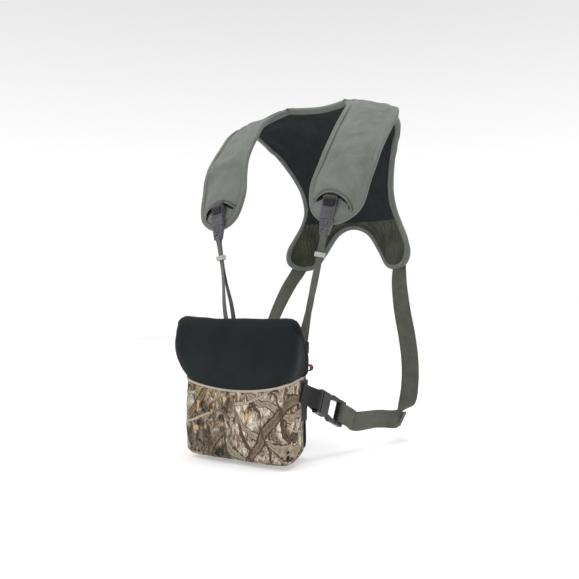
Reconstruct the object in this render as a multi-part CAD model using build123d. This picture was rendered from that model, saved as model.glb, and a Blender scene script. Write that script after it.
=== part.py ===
from build123d import *
import os

# A chest harness that carries a binocular pouch.  Sizes are in millimetres.
# The origin is midway between the shoulders, at the height where the yoke rests on them.
# +X is the wearer's left, +Y the wearer's back and +Z is up.

# Pouch
pouch_width = 152
pouch_depth = 66
pouch_front = -193
pouch_back = pouch_front + pouch_depth
pouch_bottom = -458
rim_height = -352
rim_dip = 21
wall = 3
pouch_corner = 10
panel_thickness = 5
panel_top = -327
chest_pad_thickness = 5
binding_height = 8
binding_thickness = 1.2

# Hood
hood_gap = 0.3
hood_wall = 2.5
hood_top_front = -285
hood_top_back = -322
hood_bulge = 4

# Yoke
pad_thickness = 7
back_thickness = 5
lining_thickness = 1.2
seam_y = 28
mesh_top = -135

# Webbing and hardware
side_webbing = 25
top_webbing = 15
narrow_webbing = 8
web_thickness = 1.6
thin_web = 1.4

# Pad edge points from the tip over the shoulder to the seam: neck side, then arm side
pad_stations = [
    ((82, -99, -165), (101, -98, -163)),
    ((66, -98, -147), (114, -92, -148)),
    ((55, -94, -128), (126, -86, -132)),
    ((53, -87, -111), (130, -79, -115)),
    ((58, -79, -88), (134, -71, -95)),
    ((62, -69, -65), (137, -58, -72)),
    ((64, -54, -44), (138, -40, -50)),
    ((65, -36, -22), (139, -20, -29)),
    ((66, -17, -1), (140, -2, -11)),
    ((61, 6, 13), (133, 13, -3)),
    ((46, seam_y, 20), (120, seam_y, -4)),
]

# Back of the yoke seen from the side, as (y, z): on the centre line, and beside the arms
back_centre_line = [(20, 33), (45, 22), (78, 0), (108, -36), (134, -78), (152, -120), (162, -160), (164, -216)]
back_side_line = [(20, -1), (45, -7), (68, -18), (90, -44), (108, -78), (119, -112), (118, -148), (98, -216)]
back_half_span = 130

# Front outline of one half of the back panel, as (x, z), from the shoulder seam to the arch
back_outline = [
    (121, -4), (112, -16), (93, -48), (83, -78), (80, -100), (82, -121), (90, -144), (101, -168),
    (107, -188), (104, -204), (91, -213), (75, -213), (62, -206), (48, -184), (27, -155), (0, -145),
]
neck_centre_y = -30
neck_half_width = 72
neck_half_depth = 70

# Side strap route on the wearer's left, from the wing down and round to the buckle: point, then width direction
strap_route = [
    ((93, 119, -206), (0.90, -0.42, 0)),
    ((99, 109, -240), (0.95, -0.30, 0)),
    ((110, 97, -280), (1, -0.10, 0)),
    ((121, 87, -318), (1, 0.10, 0)),
    ((129, 77, -352), (0.98, 0.25, 0.05)),
    ((133, 66, -384), (0.90, 0.40, 0.20)),
    ((134, 52, -408), (0.70, 0.50, 0.50)),
    ((131, 34, -421), (0.40, 0.50, 0.75)),
    ((124, 12, -427), (0.15, 0.45, 0.88)),
    ((114, -16, -424), (0.05, 0.40, 0.91)),
]

# Side buckle: start of its axis beside the pouch, its direction and its width direction
buckle_start = Vector(81, -132, -384)
buckle_axis = Vector(0.217, 0.867, -0.45).normalized()
buckle_across = Vector(0, 0.461, 0.887)
buckle_width = 33
buckle_mouth = 26
buckle_length = 60

# Shoulder buckle: mouth of the socket, direction up the axis, and width direction
clip_mouth = Vector(84.5, -105.3, -160)
clip_up = Vector(0.126, 0.163, 0.979).normalized()
clip_across = Vector(0.99, 0.10, -0.144)

# Front loop: its top at the clip's eye and its lower end at the ring
clip_tail = 20
eye_depth = 17
ring_centre = Vector(54, -114.5, -323)
ring_half_height = 6.5
ring_half_width = 7.5
loop_top = clip_mouth - clip_up * eye_depth
loop_bottom = ring_centre + Vector(0, 0, ring_half_height)
keeper_distance = 33
clip_thickness = 5.2


def ribbon(stations, low, high):
    """A band of cloth lofted through pairs of edge points, from low to high outside its middle surface."""
    pairs = [(Vector(*a), Vector(*b)) for a, b in stations]
    middles = [(a + b) * 0.5 for a, b in pairs]
    sections = []
    for i, (a, b) in enumerate(pairs):
        ahead = middles[min(i + 1, len(pairs) - 1)]
        behind = middles[max(i - 1, 0)]
        outward = (b - a).cross(ahead - behind).normalized()
        corners = [a + outward * low, b + outward * low, b + outward * high, a + outward * high]
        sections.append(Wire.make_polygon(corners))
    return Solid.make_loft(sections)


def webbing(route, width, low, high):
    """Flat webbing along a route of centre points, each with the direction of its width."""
    stations = []
    for point, across in route:
        middle = Vector(*point)
        half = Vector(*across).normalized() * (width / 2)
        stations.append((tuple(middle - half), tuple(middle + half)))
    return ribbon(stations, low, high)


def shifted(line, distance):
    """A side-view line moved outward by a distance, square to itself."""
    moved = []
    for i, (y, z) in enumerate(line):
        y1, z1 = line[max(i - 1, 0)]
        y2, z2 = line[min(i + 1, len(line) - 1)]
        along = Vector(y2 - y1, z2 - z1, 0).normalized()
        moved.append((y - along.Y * distance, z + along.X * distance))
    return moved


def back_section(x, line, low, high):
    """The closed section of the back panel in the plane at x, between two offsets of a side-view line."""
    inner = [Vector(x, y, z) for y, z in shifted(line, low)]
    outer = [Vector(x, y, z) for y, z in shifted(line, high)]
    edges = [
        Edge.make_spline(inner),
        Edge.make_line(inner[-1], outer[-1]),
        Edge.make_spline(outer[::-1]),
        Edge.make_line(outer[0], inner[0]),
    ]
    return Wire(edges)


def back_slab(low, high):
    """A doubly curved slab that follows the wearer's back, before it is cut to its outline."""
    sections = [
        back_section(-back_half_span, back_side_line, low, high),
        back_section(0, back_centre_line, low, high),
        back_section(back_half_span, back_side_line, low, high),
    ]
    return Solid.make_loft(sections)


def back_prism():
    """The panel's front outline carried backward from the shoulder seam, without the neck."""
    half = [Vector(x, seam_y, z) for x, z in back_outline]
    other = [Vector(-p.X, p.Y, p.Z) for p in half[-2::-1]]
    left, right = half[0], other[-1]
    top = 60
    corners = [right, Vector(right.X, seam_y, top), Vector(left.X, seam_y, top), left]
    outline = Wire([Edge.make_spline(half + other)] + [Edge.make_line(a, b) for a, b in zip(corners, corners[1:])])
    prism = extrude(Face(outline), 180, dir=(0, 1, 0))
    neck = extrude(Pos(0, neck_centre_y, -20) * Ellipse(neck_half_width, neck_half_depth), 100)
    return prism - neck


def block(x, y, z):
    """A box from its ranges along X, Y and Z."""
    size = Box(x[1] - x[0], y[1] - y[0], z[1] - z[0])
    return Pos((x[0] + x[1]) / 2, (y[0] + y[1]) / 2, (z[0] + z[1]) / 2) * size


def rounded_column(width, front, back, corner, bottom, top):
    """A vertical column with rounded corners, from its front and back planes."""
    section = Pos(0, (front + back) / 2, bottom) * RectangleRounded(width, back - front, corner)
    return extrude(section, top - bottom)


def rim_curve_face(y, below):
    """The region under the dipped front rim, lowered by a distance, in the plane at y."""
    half = pouch_width / 2 + 5
    left = Vector(-half, y, rim_height - below)
    right = Vector(half, y, rim_height - below)
    low = Vector(0, y, rim_height - rim_dip - below)
    floor_left = Vector(-half, y, pouch_bottom - 20)
    floor_right = Vector(half, y, pouch_bottom - 20)
    edges = [
        Edge.make_three_point_arc(left, low, right),
        Edge.make_line(right, floor_right),
        Edge.make_line(floor_right, floor_left),
        Edge.make_line(floor_left, left),
    ]
    return Face(Wire(edges))


def below_rim(lowered=0.0):
    """Everything under the pouch's rim: level at the sides and back, dipped across the front wall."""
    half = pouch_width / 2 + 5
    split = pouch_front + wall + 0.5
    rear = block((-half, half), (split, pouch_back + 5), (pouch_bottom - 20, rim_height - lowered))
    front_start = pouch_front - 5
    front = extrude(rim_curve_face(front_start, lowered), split - front_start, dir=(0, 1, 0))
    return rear + front


def pouch_parts():
    """The pouch: its camouflage body, base, back panel, chest pad and rim binding."""
    outer = rounded_column(pouch_width, pouch_front, pouch_back, pouch_corner, pouch_bottom, rim_height)
    inner = rounded_column(
        pouch_width - 2 * wall, pouch_front + wall, pouch_back - wall, pouch_corner - wall, pouch_bottom, rim_height
    )
    body = (outer - inner) & below_rim()
    base = rounded_column(
        pouch_width - 2 * wall, pouch_front + wall, pouch_back - wall, pouch_corner - wall,
        pouch_bottom, pouch_bottom + wall,
    )
    jacket = rounded_column(
        pouch_width + 2 * binding_thickness, pouch_front - binding_thickness, pouch_back,
        pouch_corner + binding_thickness, pouch_bottom, rim_height,
    )
    front_and_sides = block((-100, 100), (pouch_front - 10, pouch_back - pouch_corner - 2), (-500, -300))
    band = (jacket - outer) & below_rim() & front_and_sides
    binding = band - below_rim(binding_height)
    panel = block((-70, 70), (pouch_back, pouch_back + panel_thickness), (pouch_bottom + 6, panel_top))
    panel = fillet(panel.edges().filter_by(Axis.Y), 12)
    pad_front = pouch_back + panel_thickness
    pad = block((-60, 60), (pad_front, pad_front + chest_pad_thickness), (pouch_bottom + 14, -352))
    pad = fillet(pad.edges().filter_by(Axis.Y), 10)
    return {
        "pouch_body": body,
        "pouch_base": base,
        "pouch_back_panel": panel,
        "chest_pad": pad,
        "pouch_rim_binding": binding,
    }


def hood_form(inset):
    """The hood's outside shape, drawn in by an inset and cut by its sloping top."""
    front = pouch_front + inset
    back = pouch_back - 0.4 - inset
    levels = [
        (rim_height - rim_dip - 1, 0),
        (rim_height, 0),
        (rim_height + 22, hood_bulge),
        (rim_height + 46, hood_bulge + 0.5),
        (hood_top_front + 8, 0),
    ]
    sections = []
    for height, bulge in levels:
        width = pouch_width - 2 * inset + 2 * bulge
        middle = (front - bulge + back) / 2
        sections.append(Pos(0, middle, height) * RectangleRounded(width, back - front + bulge, pouch_corner - inset))
    solid = loft(sections)
    drop = inset * 1.2
    slope = [
        Vector(-120, pouch_front + 8, hood_top_front - drop),
        Vector(-120, pouch_back + 5, hood_top_back - drop),
        Vector(-120, pouch_back + 5, hood_top_front + 40),
        Vector(-120, pouch_front - 30, hood_top_front + 40),
        Vector(-120, pouch_front - 30, hood_top_front - drop - 10),
    ]
    return solid - extrude(Face(Wire.make_polygon(slope)), 240, dir=(1, 0, 0))


def hood_parts():
    """The stretch hood that closes the pouch, and the pull tabs at its rear corners."""
    outside = hood_form(0)
    shell = outside - hood_form(hood_wall) - Pos(0, 0, hood_gap) * below_rim()
    tab = block((74, 82.5), (-142, -132), (-351, -338)) - outside
    stitch = block((82.5, 83.1), (-141, -133), (-346, -343))
    left_tab = tab.solids().sort_by(Axis.X)[-1]
    return {"hood": shell}, {"hood_pull_tab": left_tab, "pull_tab_stitch": stitch}


def yoke_parts():
    """The back panel with its lining and wing mesh."""
    prism = back_prism()
    panel = back_slab(0, back_thickness) & prism
    skin = back_slab(-lining_thickness, 0) & prism
    low = block((-200, 200), (-50, 250), (-300, mesh_top))
    left_half = block((0, 200), (-50, 250), (-300, 100))
    mesh = skin & low & left_half
    return {"back_panel": panel, "back_lining": skin - low}, {"wing_mesh": mesh}


def pad_parts():
    """One shoulder pad with its lining, and the flap over the pocket that its webbing comes from."""
    front_of_seam = block((0, 250), (-250, seam_y), (-300, 100))
    half = pad_thickness / 2
    pad = ribbon(pad_stations, -half, half) & front_of_seam
    lining = ribbon(pad_stations, -half - lining_thickness, -half) & front_of_seam
    flap = ribbon(pad_stations[2:5], half, half + 1.2)
    return {"shoulder_pad": pad, "shoulder_pad_lining": lining, "pad_pocket_flap": flap}


def clip_frame(distance):
    """Where shoulder buckle pieces are drawn: X across, Y away from the chest, Z up the axis."""
    return Plane(origin=clip_mouth + clip_up * distance, x_dir=-clip_across, z_dir=clip_up).location


def shoulder_buckle_parts():
    """One shoulder buckle: a laddered socket, the clip that plugs into it, and the webbing from the pad."""
    thickness = 6.4
    width = 19
    socket = Pos(0, 0, 15) * Box(width, thickness, 30)
    socket = fillet(socket.edges().filter_by(Axis.Y), 2)
    socket -= Pos(0, 0, 5.5) * Box(14, 3.8, 11)
    socket -= Pos(0, -2.3, 21) * Box(15.6, 1.8, 10)
    for height in (17.5, 24.5):
        socket -= Pos(0, 0, height) * Box(15.6, 20, 3)
    outline = Polyline((-9.5, -0.3), (9.5, -0.3), (5.8, -clip_tail), (-5.8, -clip_tail), close=True)
    tail = extrude(Plane.XZ * make_face(outline), clip_thickness / 2, both=True)
    tail -= Pos(0, 0, -14.5) * Box(8.8, 20, 3)
    for face in (-1, 1):
        tail -= Pos(0, face * 2.1, -16.6) * Box(8.8, 2, 7.4)
    for lean in (-1, 1):
        tail -= Pos(lean * 2.4, 2.6, -7) * Rot(0, lean * 14, 0) * Box(1.2, 1.2, 9)
    plug = Pos(0, 0, 4.9) * Box(13.4, 3.2, 10.4)
    across = (-top_webbing / 2, top_webbing / 2)
    strap = block(across, (3.5, 3.5 + thin_web), (16.9, 36))
    strap += block(across, (-3.1, -3.1 + thin_web), (16.9, 25.1))
    strap += block(across, (-3.1, 4), (16.9, 18.3))
    strap += block(across, (-3.1, 4), (23.7, 25.1))
    place = clip_frame(0)
    return {
        "shoulder_socket": place * socket,
        "shoulder_clip": place * (tail + plug),
        "shoulder_webbing": place * strap,
    }


def loop_outline(eye, flat, spread, bottom):
    """A closed teardrop: round the eye, flat through the keeper, spread round the ring bar."""
    right = [(eye, 0), (eye, -3), (flat, -10), (flat, -keeper_distance - 4), (spread, -bottom)]
    left = [(-u, v) for u, v in right[::-1]]
    return make_face([
        Polyline(*right),
        ThreePointArc(right[-1], (0, -bottom - spread), left[0]),
        Polyline(*left),
        ThreePointArc(left[-1], (0, eye), right[0]),
    ])


def loop_frame():
    """Where the loop is drawn: X is through its two strands and Y is up its length."""
    up = (loop_top - loop_bottom).normalized()
    across = (clip_across - up * clip_across.dot(up)).normalized()
    return Plane(origin=loop_top, x_dir=up.cross(across), z_dir=across)


def loop_parts():
    """One narrow webbing loop from the clip's eye to the ring on the pouch, with its sliding keeper."""
    frame = loop_frame()
    reach = (loop_top - loop_bottom).length
    outside = loop_outline(3.4, 1.7, 6.4, reach)
    inside = loop_outline(2.0, 0.3, 5.0, reach)
    up_in_frame = frame.y_dir.dot((loop_top - loop_bottom).normalized())
    flip = Rot(0, 0, 0 if up_in_frame > 0 else 180)
    loop = frame.location * flip * extrude(outside - inside, narrow_webbing / 2, both=True)
    keeper = Box(6.6, 6, 12.4) - Box(4.0, 20, 8.6)
    keeper = fillet(keeper.edges().filter_by(Axis.Y).group_by(Axis.X)[-1], 1)
    middle = loop_top - (loop_top - loop_bottom).normalized() * (keeper_distance - 4)
    keeper = Plane(origin=middle, x_dir=frame.x_dir, z_dir=frame.z_dir).location * keeper
    return {"front_loop": loop, "loop_keeper": keeper}


def ring_parts():
    """One ring on the pouch's back panel and the webbing tab that holds it."""
    centre = Pos(*ring_centre)
    ring = Box(2 * ring_half_width + 3, 3, 2 * ring_half_height + 3)
    ring = fillet(ring.edges().filter_by(Axis.Y), 2.5)
    ring -= Box(2 * ring_half_width - 3, 10, 2 * ring_half_height - 3)
    half = 5.6
    low = ring_centre.Z - ring_half_height
    sleeve = Pos(ring_centre.X, ring_centre.Y, low) * Rot(0, 90, 0) * Cylinder(3.7, 2 * half)
    sleeve -= Pos(ring_centre.X, ring_centre.Y, low) * Box(2 * half, 4.6, 4.6)
    panel_face = pouch_back + panel_thickness
    x = (ring_centre.X - half, ring_centre.X + half)
    tail = block(x, (panel_face, panel_face + web_thickness), (low - 16, low - 1))
    neck = block(x, (panel_face, ring_centre.Y - 2.3), (low - 3, low - 1))
    return {"strap_ring": centre * ring, "ring_tab": tail + neck + sleeve}


def buckle_frame_at(distance):
    """Where side buckle pieces are drawn: X across, Y away from the pouch, Z along the axis."""
    return Plane(origin=buckle_start + buckle_axis * distance, x_dir=buckle_across, z_dir=buckle_axis).location


def side_buckle_parts():
    """One side-release buckle: socket, ladder frame, two spring arms, and the webbing that anchors it."""
    place = buckle_frame_at(0)
    socket = Pos(0, 0, 15) * Box(30, 8.4, 22)
    socket = fillet(socket.edges().filter_by(Axis.Y), 2.5)
    socket -= Pos(0, 0, 9.5) * Box(25.6, 20, 3.4)
    socket -= Pos(0, 0, 19.6) * Box(24.6, 4.6, 13)
    for side in (-1, 1):
        socket -= Pos(side * 14, 0, 18.5) * Box(6, 4.6, 7.4)
    ladder = Pos(0, 0, 53) * Box(buckle_width, 5.4, 14)
    ladder = fillet(ladder.edges().filter_by(Axis.Y), 1.5)
    for height in (49.8, 56.2):
        ladder -= Pos(0, 0, height) * Box(26.4, 20, 3)
    ladder -= Pos(0, 2.4, 53) * Box(26.4, 1.2, 4)
    arm_outline = Polyline(
        (12, 46), (16.5, 46), (16.8, 38), (17.4, 33), (14.8, 28), (11.8, 26), (12, 22), (14.6, 21), (13.6, 17),
        (9, 14.4), (7.6, 16), (8.6, 27), (11, 36), close=True,
    )
    arm = extrude(Plane.XZ * make_face(arm_outline), 2.1, both=True)
    arms = Compound(children=[arm.solid(), mirror(arm, about=Plane.YZ).solid()])
    anchor = Pos(0, 0, 5.9) * Box(side_webbing, 12.2, 7.6) - Pos(0, 0, 5.9) * Box(60, 9, 4.4)
    anchor += block((-side_webbing / 2, side_webbing / 2), (-0.8, 0.8), (-11.6, 2.2))
    return {
        "buckle_socket": place * socket,
        "buckle_ladder": place * ladder,
        "buckle_arms": place * arms,
        "buckle_anchor": place * anchor,
    }


def strap_end():
    """The strap's wrap round the ladder's middle bar, with the two layers that leave the buckle."""
    outer_face = 3.1
    stack = outer_face + web_thickness
    leg = 24
    start = 50.0
    bar_side = 1.3
    parts = [
        ((-3.9, stack + web_thickness), (start - 0.1, start + bar_side)),
        ((-3.9, -2.8), (start - 0.1, start + 6.1)),
        ((-3.9, stack - 0.2), (start + 4.8, start + 6.1)),
        ((outer_face, stack - 0.1), (start + 4.8, start + leg)),
        ((stack, stack + web_thickness), (start - 0.1, start + leg)),
    ]
    wrap = None
    for y, z in parts:
        piece = block((-side_webbing / 2, side_webbing / 2), y, z)
        wrap = piece if wrap is None else wrap + piece
    return buckle_frame_at(0) * wrap


def strap_parts():
    """One side strap from the wing to the buckle, its wrap, and the tape on the pouch's side."""
    end = buckle_start + buckle_axis * 74.2 + buckle_axis.cross(buckle_across) * 4.6
    route = strap_route + [(tuple(end), tuple(buckle_across))]
    strap = webbing(route, side_webbing, -web_thickness / 2, web_thickness / 2)
    tape = block((pouch_width / 2, pouch_width / 2 + web_thickness), (-158, -137), (-424, -362))
    return {"side_strap": strap, "side_strap_end": strap_end(), "pouch_side_tape": tape}


def save(name, shape):
    """Write one node, as a plain solid where it is a single one."""
    solids = shape.solids()
    whole = solids[0] if len(solids) == 1 else Compound(children=list(solids))
    export_step(whole, f"parts/{name}.step")


def main():
    os.makedirs("parts", exist_ok=True)
    hood, hood_pairs = hood_parts()
    yoke, yoke_pairs = yoke_parts()
    singles = {**pouch_parts(), **hood, **yoke}
    pairs = {
        **yoke_pairs,
        **pad_parts(),
        **shoulder_buckle_parts(),
        **loop_parts(),
        **ring_parts(),
        **side_buckle_parts(),
        **strap_parts(),
        **hood_pairs,
    }
    for name, shape in singles.items():
        save(name, shape)
    for name, shape in pairs.items():
        save(f"{name}_left", shape)
        save(f"{name}_right", mirror(shape, about=Plane.YZ))


main()
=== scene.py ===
import math

import bmesh
import bpy
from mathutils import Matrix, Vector, noise
from mathutils.bvhtree import BVHTree
from mathutils.kdtree import KDTree


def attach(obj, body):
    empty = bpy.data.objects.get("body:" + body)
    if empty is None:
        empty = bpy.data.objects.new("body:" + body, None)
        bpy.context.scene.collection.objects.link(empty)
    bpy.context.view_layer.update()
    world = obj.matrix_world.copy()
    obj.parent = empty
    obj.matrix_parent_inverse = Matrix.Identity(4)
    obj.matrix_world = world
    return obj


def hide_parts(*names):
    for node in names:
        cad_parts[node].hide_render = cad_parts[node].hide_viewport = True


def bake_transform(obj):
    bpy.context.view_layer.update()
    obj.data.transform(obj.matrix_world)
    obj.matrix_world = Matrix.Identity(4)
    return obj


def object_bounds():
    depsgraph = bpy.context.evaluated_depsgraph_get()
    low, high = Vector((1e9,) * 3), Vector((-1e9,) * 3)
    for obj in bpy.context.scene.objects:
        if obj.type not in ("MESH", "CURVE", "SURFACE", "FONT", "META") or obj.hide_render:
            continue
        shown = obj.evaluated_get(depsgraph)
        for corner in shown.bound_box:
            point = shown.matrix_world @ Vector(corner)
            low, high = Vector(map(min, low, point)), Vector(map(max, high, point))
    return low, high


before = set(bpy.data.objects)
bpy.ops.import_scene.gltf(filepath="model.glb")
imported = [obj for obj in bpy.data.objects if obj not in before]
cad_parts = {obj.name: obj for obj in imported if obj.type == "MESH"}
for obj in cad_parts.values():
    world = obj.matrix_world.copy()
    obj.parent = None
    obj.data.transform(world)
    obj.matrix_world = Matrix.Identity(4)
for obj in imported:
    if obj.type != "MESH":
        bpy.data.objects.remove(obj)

# A binocular harness pack: padded yoke, webbing straps, release buckles and a hooded pouch.
# Metres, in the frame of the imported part: +X the wearer's left, +Y the wearer's back, +Z up.

CAD_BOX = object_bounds()
SIDES = (("left", 1), ("right", -1))
MM = 0.001
# A wave texture of scale 1 has a crest every so many metres
WAVE_PITCH = 0.314
THREAD_RADIUS = 0.00028


def mm(*values):
    """A point given in millimetres."""
    return Vector(values) * MM


# ---------------------------------------------------------------- camera, light and floor

def add_camera():
    """The camera stands in front and to the wearer's left, level with the middle of the harness."""
    data = bpy.data.cameras.new("camera")
    data.lens = 40.8
    data.sensor_width = 36
    data.shift_y = 0.0095
    data.clip_start = 0.01
    camera = bpy.data.objects.new("camera", data)
    camera.location = mm(458.4, -847.7, -256)
    camera.rotation_euler = (math.radians(90), 0, math.radians(30))
    bpy.context.collection.objects.link(camera)
    bpy.context.scene.camera = camera


def add_area(name, location, target, size, power):
    """A square area light aimed at a point."""
    data = bpy.data.lights.new(name, "AREA")
    data.size = size
    data.energy = power
    light = bpy.data.objects.new(name, data)
    light.location = location
    aim = Vector(target) - Vector(location)
    light.rotation_euler = aim.to_track_quat("-Z", "Y").to_euler()
    bpy.context.collection.objects.link(light)


def add_lights():
    """A white studio sweep, bright at the horizon and dimmer overhead, with soft area lights."""
    world = bpy.data.worlds.new("studio")
    world.use_nodes = True
    tree = world.node_tree
    place = tree.nodes.new("ShaderNodeTexCoord")
    split = tree.nodes.new("ShaderNodeSeparateXYZ")
    fade = tree.nodes.new("ShaderNodeMapRange")
    tree.links.new(place.outputs["Generated"], split.inputs[0])
    tree.links.new(split.outputs["Z"], fade.inputs["Value"])
    fade.inputs["From Min"].default_value = 0.20
    fade.inputs["From Max"].default_value = 0.80
    fade.inputs["To Min"].default_value = 1.0
    fade.inputs["To Max"].default_value = 0.40
    background = tree.nodes["Background"]
    background.inputs["Color"].default_value = (1, 1, 1, 1)
    tree.links.new(fade.outputs["Result"], background.inputs["Strength"])
    bpy.context.scene.world = world
    bpy.context.scene.view_settings.view_transform = "Standard"
    middle = (0, -0.05, -0.2)
    add_area("key", (-0.8, -1.3, 1.3), middle, 0.7, 12)
    add_area("top", (0.2, 0.2, 1.6), middle, 1.2, 26)


def add_floor():
    """A pale floor just under the pouch."""
    mesh = bpy.data.meshes.new("floor")
    reach = 1.7
    level = CAD_BOX[0][2] - 0.004
    corners = [(-reach, -reach, level), (reach, -reach, level), (reach, reach, level), (-reach, reach, level)]
    mesh.from_pydata(corners, [], [(0, 1, 2, 3)])
    floor = bpy.data.objects.new("floor", mesh)
    bpy.context.collection.objects.link(floor)
    pale = bpy.data.materials.new("pale_floor")
    pale.use_nodes = True
    shader = pale.node_tree.nodes["Principled BSDF"]
    shader.inputs["Base Color"].default_value = (0.9, 0.9, 0.9, 1)
    shader.inputs["Roughness"].default_value = 0.9
    shader.inputs["Emission Color"].default_value = (1, 1, 1, 1)
    shader.inputs["Emission Strength"].default_value = 0.3
    mesh.materials.append(pale)


# ---------------------------------------------------------------- materials

class Nodes:
    """A short way to write a material's nodes."""

    def __init__(self, name, roughness, shine=0.2):
        self.material = bpy.data.materials.new(name)
        self.material.use_nodes = True
        self.tree = self.material.node_tree
        self.shader = self.tree.nodes["Principled BSDF"]
        self.shader.inputs["Roughness"].default_value = roughness
        self.shader.inputs["Specular IOR Level"].default_value = shine

    def add(self, kind, **values):
        """A node with its properties by name and its inputs as in_NAME or in_NUMBER."""
        made = self.tree.nodes.new("ShaderNode" + kind)
        for key, value in values.items():
            self.set(made, key, value)
        return made

    def set(self, made, key, value):
        """Set a property or an input; a value that is another node's output is linked."""
        if hasattr(made, key) and not key.startswith("in_"):
            setattr(made, key, value)
            return
        name = key[3:] if key.startswith("in_") else key
        socket = made.inputs[int(name)] if name.isdigit() else made.inputs[name.replace("_", " ")]
        if isinstance(value, bpy.types.NodeSocket):
            self.tree.links.new(value, socket)
        else:
            socket.default_value = value

    def noise(self, where, scale, detail=2.0, rough=0.5, distortion=0.0):
        made = self.add("TexNoise", in_Vector=where, in_Scale=scale, in_Detail=detail, in_Roughness=rough)
        self.set(made, "in_Distortion", distortion)
        return made.outputs["Fac"]

    def wave(self, where, pitch, way):
        """A wave with a crest every pitch metres along one axis."""
        made = self.add("TexWave", in_Vector=where, in_Scale=WAVE_PITCH / pitch, bands_direction=way)
        return made.outputs["Fac"]

    def mapping(self, where, **values):
        return self.add("Mapping", in_Vector=where, **values).outputs["Vector"]

    def turn(self, where, angle, **values):
        """Coordinates turned about Y by an angle in degrees."""
        return self.mapping(where, in_Rotation=(0, math.radians(angle), 0), **values)

    def math(self, operation, a, b=0.0, c=0.0):
        made = self.add("Math", operation=operation, in_0=a, in_1=b)
        if operation == "MULTIPLY_ADD":
            self.set(made, "in_2", c)
        return made.outputs[0]

    def ramp(self, fac, *stops):
        """A colour ramp from (place, colour) pairs."""
        made = self.add("ValToRGB", in_Fac=fac)
        elements = made.color_ramp.elements
        while len(elements) < len(stops):
            elements.new(0.5)
        for element, (place, colour) in zip(elements, stops):
            element.position = place
            element.color = (*colour, 1)
        return made.outputs["Color"]

    def mask(self, fac, black, white):
        """A ramp between black at one value and white at another."""
        return self.ramp(fac, *sorted([(black, (0, 0, 0)), (white, (1, 1, 1))]))

    def mix(self, fac, a, b):
        made = self.add("Mix", data_type="RGBA", in_0=fac)
        for index, value in ((6, a), (7, b)):
            if not isinstance(value, bpy.types.NodeSocket):
                value = (*value, 1)
            self.set(made, f"in_{index}", value)
        return made.outputs[2]

    def bump(self, height, distance, strength=1.0, before=None):
        made = self.add("Bump", in_Height=height, in_Distance=distance, in_Strength=strength)
        if before is not None:
            self.set(made, "in_Normal", before)
        return made.outputs["Normal"]

    def finish(self, colour, normal):
        self.tree.links.new(colour, self.shader.inputs["Base Color"])
        self.tree.links.new(normal, self.shader.inputs["Normal"])
        return self.material

    def sheen(self, weight):
        self.shader.inputs["Sheen Weight"].default_value = weight
        self.shader.inputs["Sheen Roughness"].default_value = 0.5

    def place(self, uv):
        source = self.add("TexCoord")
        return source.outputs["UV"] if uv else source.outputs["Object"]

    def threads(self, where, pitch):
        """A plain weave's height, from 0 to 1, with a thread every pitch metres."""
        warp, weft, rise = [self.wave(where, pitch, way) for way in "XYZ"]
        flat = self.math("MAXIMUM", warp, weft)
        return self.math("MULTIPLY_ADD", flat, 0.7, self.math("MULTIPLY", rise, 0.3))


def cloth(name, dark, light, pitch, uv=False, sheen=0.08):
    """Woven cloth: threads, slow colour change and small soft creases."""
    n = Nodes(name, 0.85)
    where = n.place(uv)
    weave = n.threads(where, pitch)
    cloudy = n.noise(where, 35, 3, 0.6)
    fine = n.noise(where, 900, 2, 0.7)
    tone = n.math("MULTIPLY_ADD", weave, 0.35, n.math("MULTIPLY", cloudy, 0.65))
    tone = n.math("MULTIPLY_ADD", fine, 0.3, tone)
    colour = n.ramp(tone, (0.25, dark), (0.95, light))
    creases = n.noise(where, 70, 3, 0.55, 0.6)
    soft = n.bump(creases, 0.0006)
    n.sheen(sheen)
    return n.finish(colour, n.bump(weave, 0.00012, 0.8, soft))


def webbing_cloth(name, dark, light, rib=0.0013):
    """Woven webbing, on UVs in metres: ribs across its width, and lengthwise cords set a little wider apart.
    """
    n = Nodes(name, 0.72)
    where = n.place(True)
    ribs = n.wave(where, rib, "Y")
    cords = n.wave(where, rib * 1.6, "X")
    height = n.math("MULTIPLY_ADD", ribs, 0.6, n.math("MULTIPLY", cords, 0.4))
    worn = n.noise(where, 60, 4, 0.65)
    tone = n.math("MULTIPLY_ADD", height, 0.4, n.math("MULTIPLY", worn, 0.6))
    colour = n.ramp(tone, (0.2, dark), (0.85, light))
    n.sheen(0.2)
    return n.finish(colour, n.bump(height, 0.0003, 0.8))


def knit_mesh(name, dark, light, pitch):
    """Spacer mesh: rows of small dark holes set on the diagonal."""
    n = Nodes(name, 0.9)
    where = n.place(False)
    holes = n.add("TexVoronoi", in_Vector=n.turn(where, 45), in_Scale=1 / pitch, in_Randomness=0.08)
    open_part = n.mask(holes.outputs["Distance"], 0.22, 0.5)
    yarn = n.ramp(n.noise(where, 40), (0.3, dark), (0.8, light))
    colour = n.mix(open_part, (0.012, 0.012, 0.01), yarn)
    n.sheen(0.2)
    return n.finish(colour, n.bump(open_part, 0.0005, 0.9))


def stretch_fabric(name, dark, light):
    """Matt stretch fabric with a fine knit and a soft nap."""
    n = Nodes(name, 0.92)
    where = n.place(False)
    knit = n.noise(where, 1500, 2, 0.7)
    cloudy = n.noise(where, 22, 3, 0.6)
    tone = n.math("MULTIPLY_ADD", knit, 0.35, n.math("MULTIPLY", cloudy, 0.65))
    colour = n.ramp(tone, (0.3, dark), (0.75, light))
    creases = n.bump(n.noise(where, 45, 3, 0.5, 0.4), 0.0007)
    n.sheen(0.04)
    return n.finish(colour, n.bump(knit, 0.0001, 0.6, creases))


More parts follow.
